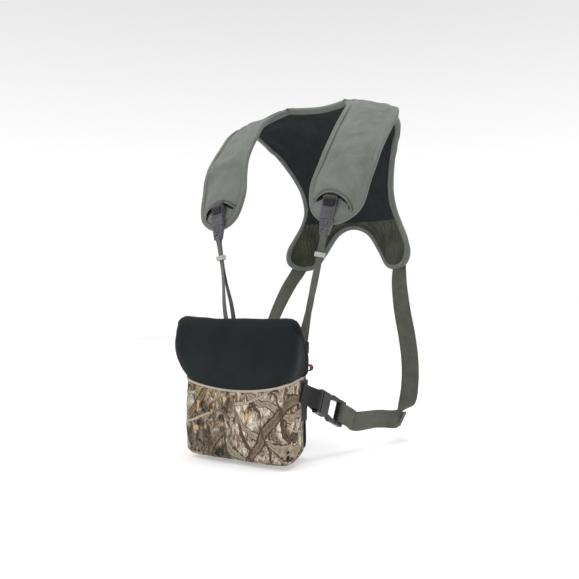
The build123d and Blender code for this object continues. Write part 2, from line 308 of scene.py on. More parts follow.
def camouflage(name):
    """A bark, limb and leaf camouflage of this model's own design, printed on brushed cloth."""
    n = Nodes(name, 0.85)
    where = n.place(False)
    warp = n.noise(where, 26, 3, 0.6)
    bent = n.add("VectorMath", operation="MULTIPLY_ADD", in_0=warp, in_1=(0.022,) * 3, in_2=where).outputs[0]
    bark = n.noise(n.mapping(bent, in_Scale=(1.3, 1.3, 0.55)), 120, 6, 0.74, 0.6)
    colour = n.ramp(
        bark, (0.36, (0.030, 0.021, 0.015)), (0.43, (0.12, 0.085, 0.058)), (0.50, (0.33, 0.26, 0.19)),
        (0.57, (0.60, 0.53, 0.44)), (0.68, (0.82, 0.78, 0.70)),
    )
    speck = n.mask(n.noise(where, 520, 3, 0.7), 0.43, 0.36)
    colour = n.mix(n.math("MULTIPLY", speck, 0.75), colour, (0.075, 0.045, 0.026))
    shaded = n.mask(n.noise(where, 19, 4, 0.6, 0.5), 0.52, 0.44)
    shadow = n.ramp(bark, (0.40, (0.012, 0.010, 0.008)), (0.66, (0.19, 0.145, 0.10)))
    colour = n.mix(n.math("MULTIPLY", shaded, 0.9), colour, shadow)
    mossy = n.mask(n.noise(n.mapping(where, in_Scale=(1.0, 1.0, 1.3)), 14, 2, 0.5, 0.3), 0.55, 0.62)
    moss = n.ramp(bark, (0.38, (0.045, 0.055, 0.035)), (0.66, (0.32, 0.35, 0.26)))
    colour = n.mix(n.math("MULTIPLY", mossy, 0.8), colour, moss)
    grain = n.noise(n.mapping(bent, in_Scale=(3, 3, 0.8)), 190, 4, 0.7)
    limbs = (
        (62, 8.5, 0.84, (0.42, 0.34, 0.25)), (-38, 6.7, 0.88, (0.24, 0.18, 0.12)),
        (20, 11.5, 0.955, (0.13, 0.09, 0.06)), (-68, 10.5, 0.96, (0.55, 0.49, 0.40)),
    )
    for angle, scale, thin, pale in limbs:
        turned = n.turn(bent, angle, in_Location=(angle * 0.001, 0, scale * 0.01))
        limb = n.add("TexWave", in_Vector=turned, in_Scale=scale, bands_direction="X", in_Distortion=3.0,
                     in_Detail=2.0, in_Detail_Scale=1.4)
        here = n.mask(n.noise(turned, 12), 0.44, 0.47)
        round_part = n.math("MULTIPLY_ADD", limb.outputs["Fac"], 1 / (1 - thin), -thin / (1 - thin))
        body = n.mask(round_part, 0.0, 0.05)
        across = n.math("MULTIPLY_ADD", n.math("SUBTRACT", grain, 0.5), 1.6, round_part)
        shades = n.ramp(across, *[
            (place, tuple(c * shade for c in pale))
            for place, shade in ((0.15, 0.05), (0.45, 0.35), (0.70, 1.0), (1.0, 0.5))
        ])
        colour = n.mix(n.math("MULTIPLY", body, here), colour, shades)
    # Leaves gather towards the pouch's upper corner on the wearer's right
    split = n.add("SeparateXYZ", in_0=where).outputs
    corner = n.math("MULTIPLY_ADD", split["X"], -1.1, n.math("MULTIPLY_ADD", split["Z"], 1.3, 0.52))
    leaves = (
        (35, 84, (0.42, 0.24, 0.06), (0.62, 0.43, 0.17)), (-50, 96, (0.14, 0.08, 0.035), (0.40, 0.31, 0.17)),
        (80, 90, (0.30, 0.19, 0.07), (0.66, 0.54, 0.32)),
    )
    for angle, scale, blade, rib in leaves:
        turned = n.turn(bent, angle, in_Scale=(1.0, 0.8, 0.36))
        cells = n.add("TexVoronoi", in_Vector=turned, in_Scale=scale, distance="MINKOWSKI", in_Exponent=0.9)
        leaf = n.mask(cells.outputs["Distance"], 0.41, 0.38)
        grove = n.mask(n.math("ADD", n.noise(turned, 21), corner), 0.54, 0.56)
        vein = n.ramp(cells.outputs["Distance"], (0.03, tuple(c * 0.4 for c in blade)), (0.09, rib),
                      (0.33, blade), (0.39, (0.02, 0.014, 0.008)))
        colour = n.mix(n.math("MULTIPLY", leaf, grove), colour, vein)
    weave = n.threads(where, 0.0006)
    n.sheen(0.05)
    creases = n.bump(n.noise(where, 60, 3, 0.5, 0.4), 0.0005)
    return n.finish(colour, n.bump(weave, 0.0001, 0.6, creases))


def plastic(name, dark, light, roughness, coat=0.0):
    """Moulded plastic: fine texture, faint flow marks and scuffs."""
    n = Nodes(name, roughness, 0.45)
    where = n.place(False)
    grain = n.noise(where, 1800, 2, 0.6)
    flow = n.noise(n.mapping(where, in_Scale=(1, 1, 3)), 90, 4, 0.6)
    colour = n.ramp(flow, (0.3, dark), (0.75, light))
    n.shader.inputs["Coat Weight"].default_value = coat
    smooth, rough = (roughness - 0.1,) * 3, (roughness + 0.15,) * 3
    scuffed = n.ramp(n.noise(where, 260, 3, 0.7), (0.35, smooth), (0.7, rough))
    n.tree.links.new(scuffed, n.shader.inputs["Roughness"])
    return n.finish(colour, n.bump(grain, 0.00005, 0.5, n.bump(flow, 0.00012, 0.6)))


SHELL = cloth("pad_shell_cloth", (0.085, 0.095, 0.083), (0.195, 0.21, 0.188), 0.0009, uv=True)
BACK_SHELL = cloth("back_shell_cloth", (0.085, 0.095, 0.083), (0.195, 0.21, 0.188), 0.0009)
TAPE = webbing_cloth("binding_tape", (0.085, 0.094, 0.080), (0.185, 0.200, 0.176), 0.0009)
LINING = cloth("lining_knit", (0.004, 0.0045, 0.005), (0.016, 0.018, 0.02), 0.0008, sheen=0.1)
INSIDE = cloth("pouch_lining_cloth", (0.030, 0.032, 0.032), (0.075, 0.078, 0.078), 0.0010)
MESH = knit_mesh("wing_spacer_mesh", (0.028, 0.031, 0.018), (0.075, 0.08, 0.052), 0.0026)
CHEST_MESH = knit_mesh("chest_spacer_mesh", (0.012, 0.013, 0.013), (0.045, 0.047, 0.046), 0.0030)
WEBBING = webbing_cloth("strap_webbing", (0.040, 0.041, 0.030), (0.120, 0.121, 0.094))
NARROW = webbing_cloth("loop_webbing", (0.055, 0.057, 0.050), (0.155, 0.158, 0.140), 0.0010)
BLACK_WEBBING = webbing_cloth("black_webbing", (0.004, 0.004, 0.005), (0.022, 0.023, 0.025), 0.0011)
HOOD = stretch_fabric("hood_stretch_fabric", (0.006, 0.0078, 0.0088), (0.014, 0.0175, 0.0195))
CAMO = camouflage("bark_camouflage")
RIM = cloth("rim_binding_cloth", (0.30, 0.26, 0.21), (0.50, 0.45, 0.38), 0.0008)
THREAD = cloth("grey_thread", (0.03, 0.034, 0.03), (0.075, 0.08, 0.072), 0.0004)
RED_THREAD = cloth("red_thread", (0.22, 0.02, 0.02), (0.45, 0.06, 0.06), 0.0004)
BUCKLE = plastic("dark_acetal", (0.0065, 0.006, 0.005), (0.018, 0.016, 0.013), 0.30, 0.10)
CLIP = plastic("slate_acetal", (0.040, 0.038, 0.048), (0.105, 0.100, 0.118), 0.42)
KEEPER = plastic("pale_acetal", (0.30, 0.31, 0.28), (0.52, 0.53, 0.50), 0.5)


# ---------------------------------------------------------------- mesh tools

def smooth_line(points, count, closed=False):
    """Points evenly spaced on a Catmull-Rom curve through a few points."""
    p = [Vector(q) for q in points]
    spans = len(p) if closed else len(p) - 1
    dense = []
    steps = 12
    for i in range(spans):
        if closed:
            a, b, c, d = (p[(i + k) % len(p)] for k in (-1, 0, 1, 2))
        else:
            a, b, c, d = p[max(i - 1, 0)], p[i], p[i + 1], p[min(i + 2, len(p) - 1)]
        for k in range(steps):
            t = k / steps
            dense.append(0.5 * (
                2 * b + (c - a) * t + (2 * a - 5 * b + 4 * c - d) * t * t + (3 * b - a - 3 * c + d) * t ** 3
            ))
    dense.append(p[0] if closed else p[-1])
    lengths = [0.0]
    for a, b in zip(dense, dense[1:]):
        lengths.append(lengths[-1] + (b - a).length)
    found = []
    index = 0
    for k in range(count):
        goal = lengths[-1] * k / (count if closed else count - 1)
        while index < len(lengths) - 2 and lengths[index + 1] < goal:
            index += 1
        gap = lengths[index + 1] - lengths[index]
        found.append(dense[index].lerp(dense[index + 1], (goal - lengths[index]) / gap if gap else 0))
    return found


def new_piece(name, mesh, material, body):
    """Add a finished mesh as a piece that rides on a body."""
    piece = bpy.data.objects.new(name, mesh)
    bpy.context.collection.objects.link(piece)
    mesh.materials.clear()
    mesh.materials.append(material)
    for face in mesh.polygons:
        face.use_smooth = True
    if body:
        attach(piece, body)
    return piece


def grid_mesh(name, rows, ring=False, caps=False):
    """A quad mesh over rows of points, with UVs in metres."""
    width = len(rows[0])
    verts = [tuple(v) for row in rows for v in row]
    middle = rows[len(rows) // 2]
    across = [0.0]
    for a, b in zip(middle, middle[1:] + middle[:1]):
        across.append(across[-1] + (b - a).length)
    along = [0.0]
    for a, b in zip(rows, rows[1:]):
        along.append(along[-1] + (b[width // 2] - a[width // 2]).length)
    faces = []
    marks = []
    for r in range(len(rows) - 1):
        for c in range(width if ring else width - 1):
            d = (c + 1) % width
            faces.append((r * width + c, r * width + d, (r + 1) * width + d, (r + 1) * width + c))
            marks.append([(across[c], along[r]), (across[c + 1], along[r]),
                          (across[c + 1], along[r + 1]), (across[c], along[r + 1])])
    if caps:
        faces.append(tuple(range(width))[::-1])
        marks.append([(across[c], along[0]) for c in range(width)][::-1])
        last = (len(rows) - 1) * width
        faces.append(tuple(range(last, last + width)))
        marks.append([(across[c], along[-1]) for c in range(width)])
    mesh = bpy.data.meshes.new(name)
    mesh.from_pydata(verts, [], faces)
    layer = mesh.uv_layers.new(name="UVMap")
    for face, mark in zip(mesh.polygons, marks):
        for loop, uv in zip(face.loop_indices, mark):
            layer.data[loop].uv = uv
    mesh.validate()
    return mesh


def frames(points, across):
    """For each point: the way ahead, the width direction square to it, and the face's outward normal."""
    made = []
    for i, side in enumerate(across):
        ahead = (points[min(i + 1, len(points) - 1)] - points[max(i - 1, 0)]).normalized()
        side = (side - ahead * side.dot(ahead)).normalized()
        made.append((ahead, side, side.cross(ahead).normalized()))
    return made


def band_rows(points, across, width, thickness):
    """Rings of a flat band's section, with rounded edges, along a line of points."""
    rows = []
    half, high = width / 2, thickness / 2
    corner = min(high, half * 0.3)
    lower = [(-half, -high / 2), (-half + corner, -high), (-half / 2, -high), (half / 2, -high),
             (half - corner, -high), (half, -high / 2)]
    section = lower + [(u, -v) for u, v in lower[::-1]]
    for point, (_, side, out) in zip(points, frames(points, across)):
        rows.append([point + side * u + out * v for u, v in section])
    return rows


def band(name, points, across, width, thickness, material, body):
    """A strap, tape or tab: a flat band along a line of points."""
    mesh = grid_mesh(name, band_rows(points, across, width, thickness), ring=True, caps=True)
    return new_piece(name, mesh, material, body)


def black_band(name, points, across, width, thickness):
    """A band of black webbing that stays with the harness."""
    return band(name, points, across, width, thickness, BLACK_WEBBING, "harness")


def tape_band(name, points, across, width, thickness):
    """A band of binding tape, which is always sewn to the harness."""
    band(name, points, across, width, thickness, TAPE, "harness")


def blend_lists(values, count):
    """Directions given at a few points, spread smoothly over many."""
    line = smooth_line(values, count)
    return [v.normalized() for v in line]


def apply_modifiers(piece):
    """Turn a piece's modifiers into its mesh."""
    graph = bpy.context.evaluated_depsgraph_get()
    mesh = bpy.data.meshes.new_from_object(piece.evaluated_get(graph), depsgraph=graph)
    piece.modifiers.clear()
    piece.data = mesh
    for face in mesh.polygons:
        face.use_smooth = True


def modify(piece, kind, **settings):
    """Apply one modifier to a piece's mesh."""
    modifier = piece.modifiers.new(kind.lower(), kind)
    for key, value in settings.items():
        setattr(modifier, key, value)
    apply_modifiers(piece)


def inflate(piece, pressure, cap, frames_run=16):
    """Fill a closed piece with air by cloth simulation, then hold each point near where it started."""
    start = [v.co.copy() for v in piece.data.vertices]
    cloth_modifier = piece.modifiers.new("cloth", "CLOTH")
    settings = cloth_modifier.settings
    settings.quality = 4
    settings.use_pressure = True
    settings.uniform_pressure_force = pressure
    settings.tension_stiffness = 20
    settings.compression_stiffness = 20
    settings.bending_stiffness = 0.4
    settings.effector_weights.gravity = 0
    cloth_modifier.collision_settings.use_collision = False
    cloth_modifier.point_cache.frame_end = frames_run
    scene = bpy.context.scene
    for number in range(1, frames_run + 1):
        scene.frame_set(number)
    apply_modifiers(piece)
    scene.frame_set(1)
    for vertex, before in zip(piece.data.vertices, start):
        move = vertex.co - before
        if move.length > cap:
            vertex.co = before + move.normalized() * cap


def ruffle(piece, amount, size, stretch=(1, 1, 1), seed=0.0, keep=None):
    """Move points along their normals by smooth noise, as cloth lies uneven."""
    offset = Vector((seed, seed * 1.7, seed * 0.6))
    normals = [v.normal.copy() for v in piece.data.vertices]
    for vertex, normal in zip(piece.data.vertices, normals):
        at = Vector([c * s / size for c, s in zip(vertex.co, stretch)]) + offset
        weight = keep(vertex.co) if keep else 1.0
        vertex.co += normal * (amount * weight * noise.noise(at))


def copy_node(node, name, material, voxel):
    """A new piece that starts from a CAD node's own mesh, remeshed evenly."""
    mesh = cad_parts[node].data.copy()
    mesh.name = name
    piece = new_piece(name, mesh, material, None)
    modify(piece, "REMESH", mode="VOXEL", voxel_size=voxel)
    piece.data.materials.clear()
    piece.data.materials.append(material)
    return piece


def surface(piece):
    """A piece's surface, to find points on it."""
    mesh = piece.data
    return BVHTree.FromPolygons([v.co for v in mesh.vertices], [p.vertices[:] for p in mesh.polygons])


def stitches(name, points, outs, pitch=0.0032, length=0.0022):
    """A row of thread stitches along a line that lies on a surface of the harness."""
    radius = THREAD_RADIUS
    made = bmesh.new()
    total = 0.0
    goal = 0.0
    for i in range(len(points) - 1):
        a, b = points[i], points[i + 1]
        step = (b - a).length
        if step == 0:
            continue
        while goal <= total + step:
            at = a.lerp(b, (goal - total) / step)
            ahead = (b - a).normalized()
            out = outs[i].normalized()
            side = ahead.cross(out)
            ring = [
                [at + ahead * (k * length / 2) + side * (u * radius * w) + out * (v * radius * w)
                 for u, v in ((-1.3, -0.5), (-0.7, 0.8), (0.7, 0.8), (1.3, -0.5))]
                for k, w in ((-1, 0.35), (-0.5, 1), (0.5, 1), (1, 0.35))
            ]
            verts = [[made.verts.new(p) for p in section] for section in ring]
            for s, t in zip(verts, verts[1:]):
                for c in range(4):
                    made.faces.new((s[c], s[(c + 1) % 4], t[(c + 1) % 4], t[c]))
            made.faces.new(verts[0][::-1])
            made.faces.new(verts[-1])
            goal += pitch
        total += step
    bmesh.ops.recalc_face_normals(made, faces=made.faces)
    mesh = bpy.data.meshes.new(name)
    made.to_mesh(mesh)
    made.free()
    new_piece(name, mesh, THREAD, "harness")


# ---------------------------------------------------------------- yoke

# Pad edge points from the tip over the shoulder to the seam: neck side, then arm side, in millimetres
PAD_EDGES = [
    ((87, -100, -165), (96, -99.5, -165)),
    ((75, -100, -161.5), (108, -97, -161)),
    ((63, -99, -153), (120, -93, -152)),
    ((56, -96, -140), (126, -88, -141)),
    ((53, -91, -124), (129, -83, -127)),
    ((53, -85, -107), (131, -77, -111)),
    ((58, -76, -84), (135, -68, -90)),
    ((62, -66, -62), (137, -56, -69)),
    ((64, -53, -43), (138, -40, -50)),
    ((65, -36, -22), (139, -20, -29)),
    ((66, -17, -1), (140, -2, -11)),
    ((61.5, 6, 16), (133.5, 13, 1)),
    ((46.5, 28, 27.5), (120.5, 28, 4.2)),
]
PAD_ROWS = 58
PAD_COLUMNS = 15
PAD_EDGE_HALF = 2.1 * MM
PAD_HALF = 3.8 * MM
PAD_CROWN = 2.4 * MM
TAPE_WIDTH = 8.2 * MM
TAPE_THICKNESS = 6.4 * MM

# Binding route round the back panel: a point near the edge, then the way into the panel
WING_EDGE = [
    ((120, 28.5, 4), (-1, 0, 0.3)),
    ((120, 46, -2), (-1, 0, 0.2)),
    ((118, 64, -10), (-1, 0.1, 0.1)),
    ((111, 78, -17), (-1, 0.2, 0)),
    ((104, 80, -31), (-1, 0.2, 0)),
    ((93, 97, -50), (-1, 0.3, 0.1)),
    ((83, 120, -78), (-1, 0.3, 0)),
    ((80, 130, -100), (-1, 0.3, 0)),
    ((82, 135, -121), (-1, 0.4, -0.1)),
    ((90, 134, -144), (-1, 0.5, -0.2)),
    ((101, 125, -168), (-1, 0.5, -0.2)),
    ((107, 118, -188), (-1, 0.5, 0.1)),
    ((104, 116, -204), (-0.8, 0.3, 0.6)),
    ((91, 122, -213), (-0.2, 0.1, 1)),
    ((75, 131, -213), (0.2, -0.1, 1)),
    ((62, 140, -206), (0.9, -0.3, 0.5)),
    ((48, 149, -184), (0.9, -0.3, 0.4)),
    ((27, 158, -155), (0.5, -0.1, 0.8)),
    ((0, 162, -145), (0, 0, 1)),
]
NECK_EDGE = [
    ((46, 28.5, 28), (0.7, 0.6, -0.2)),
    ((27, 36, 25), (0.3, 0.9, -0.4)),
    ((0, 40.5, 25), (0, 0.9, -0.4)),
]
MESH_TOP = -135 * MM


def flip(side, values):
    """A point or direction in plain numbers, mirrored for the wearer's right."""
    return Vector((values[0] * side, values[1], values[2]))


def pad_frame(side):
    """The pad's neck edge, arm edge and outward directions, row by row from its tip."""
    neck = smooth_line([flip(side, a) * MM for a, _ in PAD_EDGES], PAD_ROWS)
    arm = smooth_line([flip(side, b) * MM for _, b in PAD_EDGES], PAD_ROWS)
    outs = []
    for i in range(PAD_ROWS):
        low, high = max(i - 1, 0), min(i + 1, PAD_ROWS - 1)
        ahead = (neck[high] + arm[high]) - (neck[low] + arm[low])
        outs.append((arm[i] - neck[i]).cross(ahead).normalized() * side)
    return neck, arm, outs


def ease(value):
    """0 below 0, 1 above 1, and a smooth step between."""
    value = min(max(value, 0.0), 1.0)
    return value * value * (3 - 2 * value)


def pad_rows(neck, arm, outs):
    """Rings of the pad's section: thin at its bound edges, full and crowned in the middle."""
    rows = []
    for i, (a, b, out) in enumerate(zip(neck, arm, outs)):
        width = (b - a).length
        from_seam = 0.4 + 0.6 * ease((PAD_ROWS - 1 - i) / 5)
        top, bottom = [], []
        for c in range(PAD_COLUMNS):
            s = c / (PAD_COLUMNS - 1)
            to_edge = min(s * width, (1 - s) * width, (i + 0.5) * 5 * MM)
            full = ease((to_edge - 6.5 * MM) / (10 * MM))
            half = PAD_EDGE_HALF + (PAD_HALF - PAD_EDGE_HALF) * full * from_seam
            middle = a.lerp(b, s) + out * (PAD_CROWN * math.sin(math.pi * s) * full)
            top.append(middle + out * half)
            bottom.append(middle - out * half)
        rows.append(top + bottom[::-1])
    return rows


def skin_from(source, name, chosen, lift, thickness, material, cut=None):
    """A thin layer laid over the chosen faces of another piece, which may first be cut at a height."""
    made = bmesh.new()
    made.from_mesh(source.data)
    if cut is not None:
        everything = made.verts[:] + made.edges[:] + made.faces[:]
        bmesh.ops.bisect_plane(made, geom=everything, plane_co=(0, 0, cut), plane_no=(0, 0, 1))
    made.normal_update()
    for vert in made.verts:
        vert.co += vert.normal * lift
    bmesh.ops.delete(made, geom=[f for f in made.faces if not chosen(f)], context="FACES")
    mesh = bpy.data.meshes.new(name)
    made.to_mesh(mesh)
    made.free()
    piece = new_piece(name, mesh, material, "harness")
    modify(piece, "SOLIDIFY", thickness=thickness, offset=1)
    return piece


def faces_wearer(face, x):
    """Whether a face looks in at the wearer's trunk."""
    centre = face.calc_center_median()
    inward = Vector((x, 0, -0.12)) - centre
    return face.normal.dot(inward) > 0.35 * inward.length


def binding(name, seam_name, edge, wide, normals, inset, thickness):
    """Tape folded over an edge, with a row of stitches on both faces; seam_name has a place for the face."""
    line = [p + w * (TAPE_WIDTH / 2 - inset) for p, w in zip(edge, wide)]
    tape_band(name, line, wide, TAPE_WIDTH, thickness)
    if normals is None:
        normals = [f[2] for f in frames(line, wide)]
    for face, lift in (("outer", 1), ("inner", -1)):
        seam = [
            p + w * (TAPE_WIDTH / 2 - 1.1 * MM) + n * (lift * (thickness / 2 + 0.05 * MM))
            for p, w, n in zip(line, wide, normals)
        ]
        stitches(seam_name.format(face), seam, normals)


def pad_tape(name, neck, arm, outs):
    """The binding round a pad, from the seam down one edge, round the tip and up the other."""
    count = 240
    edge = smooth_line(neck[::-1] + arm, count)
    normal = blend_lists(outs[::-1] + outs, count)
    wide = []
    for i in range(count):
        ahead = (edge[min(i + 1, count - 1)] - edge[max(i - 1, 0)]).normalized()
        wide.append(normal[i].cross(ahead).normalized())
    if wide[20].dot(arm[-1] - neck[-1]) < 0:
        wide = [-w for w in wide]
    binding(f"pad_binding_{name}", f"pad_stitching_{{}}_{name}", edge, wide, normal, 1.2 * MM, TAPE_THICKNESS)


def distance_from(points):
    """A function that gives how far a place is from a line of points."""
    tree = KDTree(len(points))
    for index, point in enumerate(points):
        tree.insert(point, index)
    tree.balance()
    return lambda co: tree.find(co)[2]


def fade_in(distance, still, reach):
    """A weight that is 0 within the still distance of an edge and grows to 1 over a reach."""
    return lambda co: ease((distance(co) - still) / reach)


def on_surface(tree, point, out, lift):
    """The point of a surface under a place, seen from outside, raised by a lift."""
    hit = tree.ray_cast(point + out * 0.03, -out)[0]
    if hit is None:
        hit = tree.find_nearest(point)[0]
    return hit + out * lift


# The pocket's mouth: how far across the pad from its neck edge, and its height in millimetres
POCKET_MOUTH = [
    (0.08, -137), (0.22, -132), (0.37, -129), (0.50, -130), (0.62, -134), (0.75, -141), (0.92, -153),
]
FLAP_ROWS = 11
FLAP_STEP = 5.0 * MM
FLAP_LIFT = 4.2 * MM


def seam_line(neck, arm):
    """Points along the seam where a pad meets the back panel."""
    return [neck[-1].lerp(arm[-1], k / 30) for k in range(31)]


def pocket_flap(name, pad, neck, arm, outs):
    """The upper layer of the pad's shell, whose arched lower edge is the mouth its webbing comes from."""
    tree = surface(pad)
    columns = 21
    mouth = smooth_line([(s, 0, z * MM) for s, z in POCKET_MOUTH], columns)

    def place(s, height, lift):
        for i in range(PAD_ROWS - 1):
            low, high = neck[i].lerp(arm[i], s), neck[i + 1].lerp(arm[i + 1], s)
            if high.z >= height:
                break
        f = min(max((height - low.z) / (high.z - low.z), 0), 1)
        return on_surface(tree, low.lerp(high, f), outs[i].lerp(outs[i + 1], f).normalized(), lift)

    rows = []
    for k in range(-1, FLAP_ROWS):
        row = []
        for s, _, height in mouth:
            edge = ease(min(s - 0.08, 0.92 - s) / 0.16)
            lift = 0.2 * MM + FLAP_LIFT * edge * (1 - ease(k / (FLAP_ROWS - 1)))
            if k == -1:
                lift = 0.6 * lift
            row.append(place(s, height + (max(k, 0) + 0.2 * (k < 0)) * FLAP_STEP, lift))
        rows.append(row)
    flap = new_piece(f"pad_pocket_flap_shell_{name}", grid_mesh("flap", rows), SHELL, "harness")
    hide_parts(f"pad_pocket_flap_{name}")
    out = outs[8]
    hem = smooth_line([p + out * 0.2 * MM for p in rows[1]], 70)
    wide = [out.cross((b - a).normalized()) for a, b in zip(hem, hem[1:])]
    tape_band(f"pocket_hem_{name}", hem, wide + [wide[-1]], 2.2 * MM, 1.5 * MM)
    seam = smooth_line([a.lerp(b, 0.7) + out * 0.35 * MM for a, b in zip(rows[1], rows[2])], 70)
    stitches(f"pocket_stitching_{name}", seam, [out] * 70)
    # A black sheet laid on the pad from just below the flap's mouth up under the flap: painted shade where
    # the flap shades the pad
    inside = []
    for rise in (-4, -1, 3, 7, 12):
        heights = [mouth[2 + int(c * 1.35)][2] + rise * MM for c in range(13)]
        inside.append([place(0.16 + 0.68 * c / 12, height, 0.25 * MM) for c, height in enumerate(heights)])
    new_piece(f"pocket_mouth_painted_shade_{name}", grid_mesh("inside", inside), LINING, "harness")


def shoulder_seam(name, points, out):
    """The tape sewn over the joint of pad and back panel, on one face, and its two rows of stitches."""
    face, side_name = name.split("_")
    crest = smooth_line([p + out * 0.8 * MM for p in points], 40)
    wide = [out.cross((b - a).normalized()) for a, b in zip(crest, crest[1:])]
    wide.append(wide[-1])
    tape_band(f"shoulder_seam_{name}", crest, wide, 11 * MM, 1.8 * MM)
    for row, shift in (("front", -3.8), ("rear", 3.8)):
        seam = [p + w * shift * MM + out * 0.95 * MM for p, w in zip(crest, wide)]
        stitches(f"seam_stitching_{face}_{row}_{side_name}", seam, [out] * 40)


def make_pads():
    """Both shoulder pads with their linings, bindings, pockets and shoulder seams."""
    for name, side in SIDES:
        neck, arm, outs = pad_frame(side)
        rows = pad_rows(neck, arm, outs)
        mesh = grid_mesh(f"shoulder_pad_shell_{name}", rows, ring=True, caps=True)
        pad = new_piece(f"shoulder_pad_shell_{name}", mesh, SHELL, None)
        from_edge = distance_from(smooth_line(neck[::-1] + arm, 400) + seam_line(neck, arm))
        inflate(pad, 3.0, 1.6 * MM)
        modify(pad, "SUBSURF", levels=1, render_levels=1)
        inland = fade_in(from_edge, 7 * MM, 12 * MM)
        ruffle(pad, 2.2 * MM, 0.030, (1, 1, 1.6), seed=3.0 + side, keep=inland)
        ruffle(pad, 1.0 * MM, 0.012, (1, 1, 1.8), seed=7.0 + side, keep=inland)
        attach(pad, "harness")
        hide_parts(f"shoulder_pad_{name}")
        lining = skin_from(
            pad, f"shoulder_pad_backing_{name}",
            lambda f: faces_wearer(f, 0.095 * side) and from_edge(f.calc_center_median()) > 3 * MM,
            0.15 * MM, 0.5 * MM, LINING,
        )
        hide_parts(f"shoulder_pad_lining_{name}")
        pad_tape(name, neck, arm, outs)
        pocket_flap(name, pad, neck, arm, outs)
        shoulder_seam(f"top_{name}", rows[-1][:PAD_COLUMNS], outs[-1])
        shoulder_seam(f"under_{name}", rows[-1][:PAD_COLUMNS - 1:-1], -outs[-1])


def panel_edge(tree, point, way):
    """The middle of the panel's thickness at its edge, found by looking out from inside the harness."""
    point, way = point * MM, way.normalized()
    inner = point + Vector((way.x, 0, way.z)) * 1.6 * MM
    start = Vector((inner.x, 0, min(inner.z, -0.1)))
    ahead = (inner - start).normalized()
    near, normal = tree.ray_cast(start, ahead)[:2]
    if near is None:
        near, normal = tree.find_nearest(inner)[:2]
    middle = near + ahead * 2.4 * MM
    flat = (way - normal * way.dot(normal)).normalized()
    return middle - flat * 1.6 * MM, flat


def edge_line(tree, route, count):
    """The panel's edge and the way into it, evenly spaced, from one half of a given route."""
    left = [(Vector(p), Vector(w)) for p, w in route]
    right = [(flip(-1, p), flip(-1, w)) for p, w in route[-2::-1]]
    found = [panel_edge(tree, p, w) for p, w in left + right]
    return smooth_line([p for p, _ in found], count), blend_lists([w for _, w in found], count)


def make_back():
    """The back panel with its lining, wing mesh and bindings."""
    tree = surface(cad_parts["back_panel"])
    wing_edge, wing_way = edge_line(tree, WING_EDGE, 420)
    neck_edge, neck_way = edge_line(tree, NECK_EDGE, 70)
    seams = [p for _, side in SIDES for p in seam_line(*pad_frame(side)[:2])]
    from_edge = distance_from(wing_edge + neck_edge + seams)
    panel = copy_node("back_panel", "back_panel_shell", BACK_SHELL, voxel=3.0 * MM)
    modify(panel, "SMOOTH", iterations=3, factor=0.5)
    inland = fade_in(from_edge, 8 * MM, 18 * MM)
    inflate(panel, 2.0, 1.0 * MM, 10)
    ruffle(panel, 3.0 * MM, 0.045, (1, 1, 1), seed=11.0, keep=inland)
    ruffle(panel, 1.0 * MM, 0.016, (1.5, 1, 0.8), seed=12.0, keep=inland)
    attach(panel, "harness")
    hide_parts("back_panel")

    def inside(face):
        return faces_wearer(face, 0) and from_edge(face.calc_center_median()) > 3.2 * MM

    def in_wing(face, side):
        centre = face.calc_center_median()
        return inside(face) and centre.z <= MESH_TOP and centre.x * side >= 0

    lining = skin_from(
        panel, "back_panel_lining", lambda f: inside(f) and f.calc_center_median().z > MESH_TOP,
        0.2 * MM, 0.5 * MM, LINING, cut=MESH_TOP,
    )
    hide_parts("back_lining")
    for name, side in SIDES:
        mesh = skin_from(
            panel, f"wing_mesh_skin_{name}", lambda f: in_wing(f, side),
            0.2 * MM, 0.7 * MM, MESH, cut=MESH_TOP,
        )
        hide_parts(f"wing_mesh_{name}")
    for name, edge, way in (("wing_binding", wing_edge, wing_way), ("neck_binding", neck_edge, neck_way)):
        binding(name, f"{name}_stitching_{{}}", edge, way, None, 1.4 * MM, TAPE_THICKNESS + 1.8 * MM)


# ---------------------------------------------------------------- straps and hardware

STRAP_ROUTE = [
    ((86, 144.5, -190), (0.88, -0.45, 0)),
    ((89, 140.5, -206), (0.90, -0.42, 0)),
    ((92, 131, -220), (0.90, -0.42, 0)),
    ((99, 114, -243), (0.95, -0.30, 0)),
    ((110, 97, -280), (1, -0.10, 0)),
    ((121, 87, -318), (1, 0.10, 0)),
    ((129, 77, -352), (0.98, 0.25, 0.05)),
    ((133, 66, -384), (0.90, 0.40, 0.20)),
    ((134, 52, -408), (0.70, 0.50, 0.50)),
    ((131, 34, -421), (0.40, 0.50, 0.75)),
    ((124, 12, -427), (0.15, 0.45, 0.88)),
    ((114, -16, -424), (0.05, 0.42, 0.90)),
]
BUCKLE_START = (81, -132, -384)
BUCKLE_AXIS = (0.217, 0.867, -0.45)
BUCKLE_ACROSS = (0, 0.461, 0.887)
STRAP_WIDTH = 25 * MM
STRAP_THICKNESS = 1.5 * MM

CLIP_MOUTH = (84.5, -105.3, -160)
CLIP_UP = (0.126, 0.163, 0.979)
CLIP_ACROSS = (-0.99, -0.10, 0.144)
RING_BAR = (54, -114.5, -316.5)


class LocalFrame:
    """Places points given as across, outward and along, in millimetres, beside a piece of hardware."""

    def __init__(self, side, origin, along, across):
        self.origin = flip(side, origin) * MM
        self.along = flip(side, along).normalized()
        self.across = flip(side, across).normalized()
        self.out = flip(side, Vector(along).cross(Vector(across))).normalized()

    def at(self, across, out, along):
        return self.origin + (self.across * across + self.out * out + self.along * along) * MM


